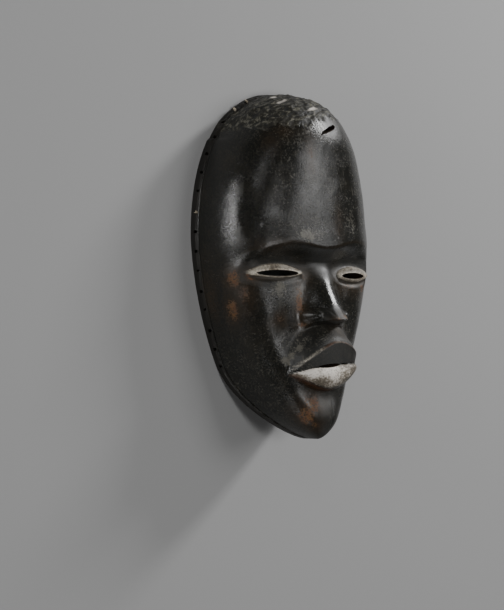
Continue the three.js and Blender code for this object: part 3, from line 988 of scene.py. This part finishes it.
def patinatedWood():
    material, tree, shader = woodMaterial("patinated_wood")
    shader.inputs["Specular IOR Level"].default_value = wood["shine"]
    place = addNode(tree, "ShaderNodeTexCoord").outputs["Object"]
    grainPlace = stretched(tree, place, (1, wood["grainSize"] / wood["grainLength"], 1))
    grain = noiseAt(tree, grainPlace, wood["grainSize"], 4.0, 0.6)
    coarseGrain = noiseAt(tree, grainPlace, wood["grainSize"] * 4, 3.0, 0.55)
    cloud = noiseAt(tree, place, wood["cloudSize"], 4.0, 0.6)
    patches = noiseAt(tree, place, wood["patchSize"], 5.0, 0.62, 0.4)
    speckle = noiseAt(tree, place, wood["speckleSize"], 3.0, 0.7)
    pores = noiseAt(tree, place, wood["poreSize"], 2.0, 0.6)
    ragged = plus(tree, times(tree, patches, 0.45), times(tree, speckle, 0.55))
    crown, rimPaint = painted(tree, "crown"), painted(tree, "rim")

    # the dark skin: black, browner in clouds, with dust along the grain and in specks, and pale patches
    # that are partly painted sheen
    clouds = between(tree, cloud, 0.45, 0.75, 0.0, 0.7)
    browner = plus(tree, clouds, between(tree, speckle, 0.42, 0.62, 0.0, 0.6))
    colour = blended(tree, browner, wood["patina"], wood["patinaBrown"])
    fineStreaks = between(tree, grain, 0.52, 0.72)
    streaks = times(tree, fineStreaks, between(tree, coarseGrain, 0.46, 0.66, 0.0, 0.7))
    specks = times(tree, between(tree, speckle, 0.52, 0.66), between(tree, patches, 0.38, 0.60))
    dust = times(tree, larger(tree, streaks, specks), painted(tree, "dust"))
    # pale places: dust and old colour, with painted sheen on the cheek, the forehead and under the nose
    dust = plus(tree, dust, broken(tree, times(tree, painted(tree, "pale"), 0.62), ragged))
    dust = combined(tree, "MINIMUM", dust, 0.9)
    colour = blended(tree, dust, colour, wood["dust"])

    # the rough crown, greyer, with light and dark strokes of the tool
    strokePlace = stretched(tree, place, (0.30, 1.0, 1.0), (0.0, 0.0, wood["strokeTurn"]))
    strokes = noiseAt(tree, strokePlace, wood["strokeSize"], 3.0, 0.6, 0.6)
    crownColour = blended(tree, between(tree, strokes, 0.51, 0.62), wood["crown"], wood["crownPale"])
    crownColour = blended(tree, between(tree, strokes, 0.47, 0.40), crownColour, wood["patina"])
    crownShown = times(tree, crown, between(tree, cloud, 0.30, 0.55, 0.55, 1.0))
    colour = blended(tree, crownShown, colour, crownColour)

    # wood worn through the skin, warm where hands and edges rubbed it
    tinted = times(tree, painted(tree, "worn"), between(tree, ragged, 0.36, 0.56, 0.25, 0.9))
    colour = blended(tree, tinted, colour, wood["tint"])
    wear = broken(tree, times(tree, painted(tree, "worn"), 0.60), ragged, 0.10)
    wornColour = blended(tree, between(tree, patches, 0.4, 0.65), wood["worn"], wood["wornRed"])
    wornColour = blended(tree, between(tree, grain, 0.50, 0.80, 0.0, 0.6), wornColour, wood["dust"])
    wornColour = blended(tree, between(tree, speckle, 0.52, 0.38), wornColour, wood["patinaBrown"])
    colour = blended(tree, times(tree, wear, 0.85), colour, wornColour)
    colour = blended(tree, rimPaint, colour, wood["rim"])
    # painted shade in the grooves round the eyes, and the brow line, partly its own dark brown
    colour = blended(tree, painted(tree, "groove"), colour, wood["groove"])

    # pale, mottled eyelids, with painted highlight along the edges of the upper lid
    lid = painted(tree, "lid")
    lidColour = blended(tree, between(tree, ragged, 0.40, 0.60), wood["lidShade"], wood["lid"])
    lidShown = times(tree, lid, between(tree, ragged, 0.34, 0.50, 0.45, 1.0))
    colour = blended(tree, lidShown, colour, lidColour)

    # pale lower lip with its worn edge, whiter at its top partly as painted highlight, and the newly cut
    # chips, whose white is partly painted glint
    lip = painted(tree, "lip")
    whiter = plus(tree, ragged, times(tree, painted(tree, "lipFresh"), 0.18))
    lipColour = blended(tree, between(tree, whiter, 0.47, 0.72), wood["lipShade"], wood["lip"])
    lipShown = broken(tree, times(tree, lip, 0.74), ragged, 0.22)
    colour = blended(tree, lipShown, colour, lipColour)
    edge = times(tree, painted(tree, "lipEdge"), between(tree, speckle, 0.35, 0.6, 0.35, 1.0))
    edgeColour = blended(tree, painted(tree, "lipPale"), wood["wornRed"], wood["lid"])
    colour = blended(tree, edge, colour, edgeColour)
    # the chips white: partly bare wood, partly painted glints
    colour = blended(tree, painted(tree, "chip"), colour, wood["lip"])
    tree.links.new(colour, shader.inputs["Base Color"])

    # polished where it is black, duller where it is worn
    dull = larger(tree, larger(tree, wear, crown), larger(tree, lid, lip))
    dull = larger(tree, dull, larger(tree, rimPaint, painted(tree, "matte")))
    black = between(tree, patches, 0.3, 0.7, wood["gloss"], wood["gloss"] + 0.12)
    roughness = plus(tree, times(tree, dull, wood["dullness"]), black)
    roughness = plus(tree, roughness, times(tree, dust, 0.18))
    roughness = minus(tree, roughness, times(tree, painted(tree, "polish"), 0.07))
    tree.links.new(roughness, shader.inputs["Roughness"])

    # grain, pores and pits, then the strokes on the crown
    normal = bumps(tree, grain, 0.00014, 0.4)
    pits = times(tree, speckle, plus(tree, painted(tree, "grainy"), 0.2))
    normal = bumps(tree, plus(tree, times(tree, pores, 0.3), pits), 0.00030, 0.9, normal)
    normal = bumps(tree, times(tree, strokes, crown), 0.0012, 0.8, normal)
    tree.links.new(normal, shader.inputs["Normal"])
    return material


def dryFibre():
    material, tree, shader = woodMaterial("dry_fibre")
    place = addNode(tree, "ShaderNodeTexCoord").outputs["Object"]
    tone = noiseAt(tree, place, 0.0008, 2.0, 0.6)
    colour = blended(tree, between(tree, tone, 0.35, 0.65), wood["fibre"], wood["pale"])
    tree.links.new(colour, shader.inputs["Base Color"])
    shader.inputs["Roughness"].default_value = 0.8
    return material


def hollowWood():
    # bare brown wood with the grain showing
    material, tree, shader = woodMaterial("hollow_wood")
    place = addNode(tree, "ShaderNodeTexCoord").outputs["Object"]
    grain = noiseAt(tree, stretched(tree, place, (1, 0.05, 1)), 0.0018, 4.0, 0.6)
    cloud = noiseAt(tree, place, 0.030, 4.0, 0.6)
    colour = blended(tree, between(tree, grain, 0.45, 0.72), wood["hollow"], wood["hollowPale"])
    colour = blended(tree, between(tree, cloud, 0.40, 0.70, 0.0, 0.85), colour, wood["patinaBrown"])
    tree.links.new(colour, shader.inputs["Base Color"])
    shader.inputs["Roughness"].default_value = 0.68
    tree.links.new(bumps(tree, grain, 0.0003, 0.7), shader.inputs["Normal"])
    return material


# places on the mask, each with x, y, z, radius, how much longer it is up and down, and strength
# where the skin is worn through to the wood
wornPlaces = [
    (-61.4, -9.0, 33.0, 6.5, 1.2, 1.0),
    (-54.0, -8.0, 42.0, 6.0, 0.9, 0.9),
    (-59.0, -30.0, 29.0, 5.5, 2.0, 1.0),
    (-56.0, -19.0, 38.5, 6.5, 1.8, 0.8),
    (-66.5, -30.0, 12.0, 6.0, 3.0, 0.7),
    (-35.7, -37.5, 52.0, 5.5, 1.0, 0.8),
    (-21.0, -24.0, 55.8, 4.0, 3.6, 1.0),
    (-17.0, -7.0, 55.0, 5.5, 1.0, 0.75),
    (5.5, -35.5, 75.0, 5.0, 0.6, 1.0),
    (-2.0, -37.2, 78.0, 5.5, 0.4, 0.9),
    (-13.5, -96.0, 60.5, 8.0, 1.1, 0.95),
    (-15.5, -103.5, 58.0, 8.0, 1.1, 1.0),
    (-9.0, -110.0, 59.0, 6.0, 0.9, 0.8),
    (30.0, -13.0, 53.0, 14.0, 0.45, 0.85),
    (45.0, -15.0, 49.0, 6.0, 1.2, 0.8),
    (-31.0, 92.5, 49.0, 6.0, 0.7, 0.55),
    (-39.4, 86.0, 46.0, 5.0, 1.6, 0.5),
    (-13.0, 76.0, 59.6, 3.4, 3.5, 0.7),
    (12.0, 30.0, 62.0, 4.0, 2.5, 0.6),
    (-20.0, -41.0, 58.0, 5.5, 0.6, 0.85),
    (10.0, -46.0, 62.0, 9.0, 0.8, 0.6),
    (-45.0, 14.0, 58.0, 14.0, 0.3, 0.5),
]
# where dust and old colour make it pale, and where it is lightened as painted sheen
paleAndSheenPlaces = [
    # cheek under the right eye: dust, with a painted sheen
    (-37.0, -16.0, 52.3, 12.0, 0.75, 0.84),
    # lower forehead: dust, with a painted sheen
    (-16.0, 21.0, 62.0, 14.0, 0.6, 0.86),
    (-40.0, 22.0, 58.0, 10.0, 0.8, 0.6),
    # left side of the forehead: a pale patch, with a painted sheen
    (28.0, 30.0, 59.0, 12.0, 1.2, 0.7),
    (-30.5, -66.0, 52.5, 4.4, 1.0, 1.0),
    (-27.5, -62.5, 55.8, 4.0, 1.0, 1.0),
    (-23.5, -57.0, 59.5, 4.0, 1.0, 0.95),
    (-18.0, -50.0, 61.5, 4.0, 1.0, 0.7),
    # under the nose: worn grey, with a painted highlight where it faces up
    (8.0, -44.5, 64.0, 7.0, 1.0, 0.8),
    (-30.0, 58.0, 58.0, 9.0, 2.4, 0.6),
    (-20.0, 64.0, 60.0, 7.0, 3.0, 0.6),
    (-36.0, 90.0, 47.0, 6.0, 1.0, 0.6),
    (-14.0, 92.0, 57.0, 8.0, 0.8, 0.75),
    (6.0, 80.0, 60.0, 12.0, 2.0, 0.5),
    (42.0, 55.0, 52.0, 9.0, 3.5, 0.6),
    (-25.0, -30.0, 55.5, 4.0, 3.0, 0.6),
]
# where the skin is grainy, as if pitted
grainyPlaces = [
    (-35.0, 24.0, 60.0, 14.0, 0.9, 1.0),
    (-20.0, 24.0, 62.0, 13.0, 1.1, 1.3),
    (-5.0, 24.0, 63.0, 12.0, 1.0, 1.0),
    (-59.0, 13.0, 40.0, 8.0, 1.2, 1.0),
    (-38.0, -17.0, 53.0, 12.0, 0.9, 1.3),
    (-25.0, 90.0, 50.0, 20.0, 0.6, 0.5),
    (5.0, 92.0, 55.0, 14.0, 0.8, 0.5),
    (-28.0, -60.0, 56.0, 9.0, 1.4, 0.8),
    (-12.0, -50.0, 64.0, 9.0, 1.2, 1.0),
    (0.0, -47.0, 68.0, 9.0, 0.8, 0.9),
    (-57.0, -22.0, 35.0, 11.0, 1.8, 0.8),
    (10.0, -50.0, 66.0, 12.0, 0.8, 0.7),
    (42.0, -20.0, 50.0, 12.0, 1.2, 0.5),
]


def blotches(points, places):
    # how strongly any of the places marks each point
    strongest = np.zeros(len(points))
    for x, y, z, radius, tall, strength in places:
        away = (points - np.array([x, y, z])) / np.array([radius, radius * tall, radius])
        strongest = np.maximum(strongest, strength * np.exp(-0.6 * (away**2).sum(axis=1)))
    return strongest


def lidPaint(x, y):
    share, above, edge = lidCurves(x, y)
    shown = ease(1.10, 0.90, np.abs(above) / edge) * ease(0.04, 0.40, share)
    body = swell(above / edge - 0.66, 0.17)  # the upper lid is greyer between its two edges; the paler edges are partly painted highlight
    return shown * (1 - 0.45 * body) * (1 - 0.22 * (x > 0))


def grooveShadePaint(x, y):
    # painted shade: dark lines, a broad one under each eye and a fine one over it, and one along the brow
    # that is partly its dark brown colour and partly painted shade
    share, above, edge = lidCurves(x, y)
    under = ease(-0.4, 0.2, -above - edge) * ease(2.8, 1.6, -above - edge)
    over = 0.7 * ease(-0.9, -0.2, above - edge) * ease(0.9, 0.3, above - edge)
    browEdge = 0.65 * swell(y - browLine(x) - 0.8, 0.9) * ease(64, 56, np.abs(x))
    return np.maximum((under + over) * ease(0.15, 0.45, share), browEdge)


def lipPaint(x, y):
    # how pale the lower lip is, with painted light and shade in it, the worn edges of both lips, and
    # where the lower one is whitest
    top, line, bottom = lipCurves(x)[:3]
    down = (line - y) / np.maximum(line - bottom, 0.01)
    within = ease(1.0, 0.93, np.abs(x) / mouth["halfWidth"])
    lower = ease(-0.03, 0.05, down) * ease(1.02, 0.80, down) * within
    # less pale towards the left, and painted shade towards the lower edge, where the lip turns down
    lower *= (1 - 0.28 * ease(-8, 16, x)) * (1 - 0.22 * ease(0.35, 0.9, down))
    edge = np.maximum(swell(y - top, 0.42), 0.6 * swell(y - bottom - 0.6, 0.8))
    # whitest at the top on the right: partly its own colour, partly painted highlight
    whitestAndLit = ease(8, -8, x) * ease(0.8, 0.35, down)
    return lower, 0.85 * (edge * within), whitestAndLit


def muzzleShare(x, y):
    return ease(1.2, 0.8, np.hypot(x / 30, (y + 60) / 20))


def dustPaint(x, y):
    bothSides = 0.2 * ease(16, 24, np.abs(x)) * ease(62, 45, np.abs(x))
    overEye = 0.45 * ease(-50, -25, x) * ease(16, 26, y)
    besideEye = 0.2 * ease(-58, -46, x) * ease(4, -8, y)
    overLip = 0.75 * muzzleShare(x, y) * (y > lipCurves(x)[0] + 0.5)
    return bothSides + overEye + besideEye + overLip


def mattePaint(x, y):
    # duller on the muzzle, the chin, beside the slot, round the eyes and at both ends of the nose
    roundEyes = ease(1.3, 1.0, np.hypot((np.abs(x) - eye["x"]) / 23, (y - eye["y"]) / 9.5))
    noseEnds = np.maximum(ease(-14, -4, y) * ease(14, 6, y), ease(-25, -32, y))
    return np.maximum.reduce([
        muzzleShare(x, y),
        0.5 * swell(x, 24) * swell(y + 102, 17),
        0.55 * swell(x - 12, 12) * swell(y - 99, 9),
        0.9 * roundEyes,
        0.8 * swell(x, 12) * noseEnds,
    ])


def polishPaint(x, y):
    # glossiest on the right side of the forehead and the bridge of the nose
    sideForehead = swell(x + 60, 9) * ease(10, 24, y) * ease(90, 70, y)
    return np.maximum(sideForehead, swell(x + 2, 15) * swell(y + 24, 12))


def paintWear(piece):
    mesh = piece.data
    points = np.empty(len(mesh.vertices) * 3)
    mesh.vertices.foreach_get("co", points)
    points = points.reshape(-1, 3) / mm
    x, y, z = points.T
    lip, lipEdge, lipFresh = lipPaint(x, y)
    fromBand = z - rimHeight(y) - rim["bandHeight"]
    rubbed = 0.35 * swell(fromBand + 0.6, 0.9)  # edge of the rim band
    layers = {
        "lid": lidPaint(x, y),
        # painted shade in the grooves round the eyes and along the brow
        "groove": grooveShadePaint(x, y),
        "lip": lip,
        "lipEdge": lipEdge,
        # the lower lip's whitest part, partly painted highlight
        "lipFresh": lipFresh,
        "lipPale": ease(-9, -17, x) * (y > -75) + 0.5 * swell(x - 1, 3) * (y > -60),
        "worn": np.maximum(blotches(points, wornPlaces), rubbed),
        # dust and old colour, partly painted sheen
        "pale": blotches(points, paleAndSheenPlaces),
        "grainy": blotches(points, grainyPlaces),
        "dust": dustPaint(x, y),
        "rim": 0.8 * ease(1.5, 0, fromBand),
        "matte": mattePaint(x, y),
        "polish": polishPaint(x, y),
        "crown": crownShare(x, y),
        # bare wood of the chips, partly painted glints
        "chip": np.clip(chipDepth(points) / 0.35 - 0.4, 0, 1),
    }
    for name, values in layers.items():
        layer = mesh.attributes.new(name, "FLOAT", "POINT")
        layer.data.foreach_set("value", values.astype(np.float32))


patina = patinatedWood()
rawWood = hollowWood()
face = closedMesh("carved_face", outerGrid(), patina)
print("outer form:", len(face.data.polygons), "faces")
cut(face, closedMesh("hollow", hollowGrid(), rawWood))
print("hollowed:", len(face.data.polygons), "faces")
rightSlit = lensOutline(-eye["x"], eye["y"], eye["slitHalf"], eye["slitHeight"])
leftY = eye["y"] - eye["leftDrop"]
leftSlit = lensOutline(eye["leftSlitX"], leftY, eye["leftSlitHalf"], eye["slitHeight"])
for outline in (rightSlit, leftSlit):
    cut(face, prism("eye slit", outline, eye, rawWood))
gapY = mouth["lineY"] + mouth["tilt"] * mouth["gapX"]
outline = lensOutline(mouth["gapX"], gapY, mouth["gapHalf"], mouth["gapHeight"], mouth["tilt"])
cut(face, prism("mouth gap", outline, mouth, rawWood))
cut(face, prism("crown slot", slotOutline(), slot, rawWood))
drills, holeCentres = drilledHoles(patina)
cut(face, drills)
print("pierced:", len(face.data.polygons), "faces")
paintWear(face)
face.data.polygons.foreach_set("use_smooth", [True] * len(face.data.polygons))
face.data.set_sharp_from_angle(angle=math.radians(50))
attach(face, "root")
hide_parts("mask")
stubs = fibreStubs(holeCentres, dryFibre())
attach(stubs, "root")
print("fibre stubs:", len(fibres["places"]), "holes")

# plain floor and soft lights: place, width and depth, and power
room = {"floorSize": 6.0, "floorGrey": 0.37, "sky": 0.06, "aim": (0, 0, 0.03)}
lights = {
    "left strip": ((-1.1, 0.17, 0.15), (0.5, 0.04), 3.6),
    "left spot": ((-0.71, 0.52, 0.82), (0.06, 0.06), 0.35),
    "right strip": ((1.0, 0.7, 0.54), (0.17, 0.34), 12),
    "right box": ((0.68, 0.20, 1.14), (0.54, 0.54), 4.6),
    "overhead": ((-0.36, -0.09, 1.5), (0.3, 0.3), 5.5),
    "low front": ((-0.6, -0.86, 0.32), (0.2, 0.2), 0.7),
    "low fill": ((0.7, -0.8, 0.4), (0.5, 0.5), 0.4),
}


def makeFloor():
    bpy.ops.mesh.primitive_plane_add(size=room["floorSize"])
    floor = bpy.context.object
    floor.name = "floor"
    material = bpy.data.materials.new("floor")
    material.use_nodes = True
    shader = material.node_tree.nodes["Principled BSDF"]
    grey = room["floorGrey"]
    shader.inputs["Base Color"].default_value = (grey, grey, grey, 1)
    shader.inputs["Roughness"].default_value = 0.8
    floor.data.materials.append(material)


def softLight(name, place, size, power):
    data = bpy.data.lights.new(name, "AREA")
    data.shape = "RECTANGLE"
    data.size, data.size_y = size
    data.energy = power
    light = bpy.data.objects.new(name, data)
    light.location = place
    light.rotation_mode = "QUATERNION"
    light.rotation_quaternion = (Vector(place) - Vector(room["aim"])).to_track_quat("Z", "Y")
    bpy.context.scene.collection.objects.link(light)


def makeSky():
    world = bpy.data.worlds.new("studio")
    world.use_nodes = True
    background = world.node_tree.nodes["Background"]
    background.inputs[0].default_value = (1, 1, 1, 1)
    background.inputs[1].default_value = room["sky"]
    bpy.context.scene.world = world


makeFloor()
for name, (place, size, power) in lights.items():
    softLight(name, place, size, power)
makeSky()
print("room ready:", len(lights), "lights")
